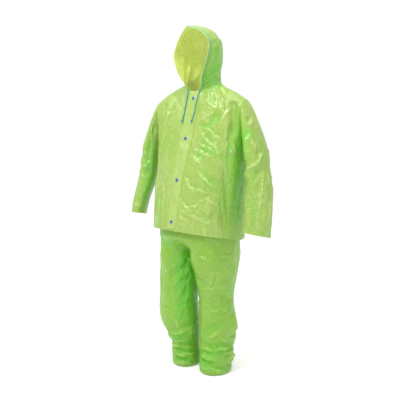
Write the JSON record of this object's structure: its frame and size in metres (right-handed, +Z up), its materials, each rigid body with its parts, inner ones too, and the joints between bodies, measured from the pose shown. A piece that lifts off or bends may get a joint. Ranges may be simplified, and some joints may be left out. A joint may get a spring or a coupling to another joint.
{
  "type": "rain suit",
  "caption": "Hooded waterproof jacket with a snap front and drawcord, worn over straight trousers, in translucent lime vinyl.",
  "frame": {"origin": "between the shoulders, on the body's centre line at the height of the shoulder seams, where the wearer carries the jacket", "axes": "+Z up along the body, -Y towards the front of the suit, +X towards the wearer's left"},
  "size_m": [0.8519, 0.3629, 1.7077],
  "materials": {
    "jacket_vinyl": "soft-gloss translucent lime film",
    "trouser_vinyl": "soft-gloss translucent green film",
    "snap_plastic": "satin blue",
    "cord_braid": "teal braid"
  },
  "bodies": {
    "root": {"back": "jacket_vinyl", "front_left": "jacket_vinyl", "front_right": "jacket_vinyl", "sleeve_left": "jacket_vinyl", "sleeve_right": "jacket_vinyl", "hood_left": "jacket_vinyl", "hood_right": "jacket_vinyl", "hood_casing_left": "jacket_vinyl", "hood_casing_right": "jacket_vinyl", "placket": "jacket_vinyl", "snap_1": "snap_plastic", "snap_2": "snap_plastic", "snap_3": "snap_plastic", "snap_4": "snap_plastic", "drawcord_left": "cord_braid", "drawcord_right": "cord_braid", "knot_left": "cord_braid", "knot_right": "cord_braid", "leg_left": "trouser_vinyl", "leg_right": "trouser_vinyl", "waistband": "trouser_vinyl"}
  },
  "joints": []
}
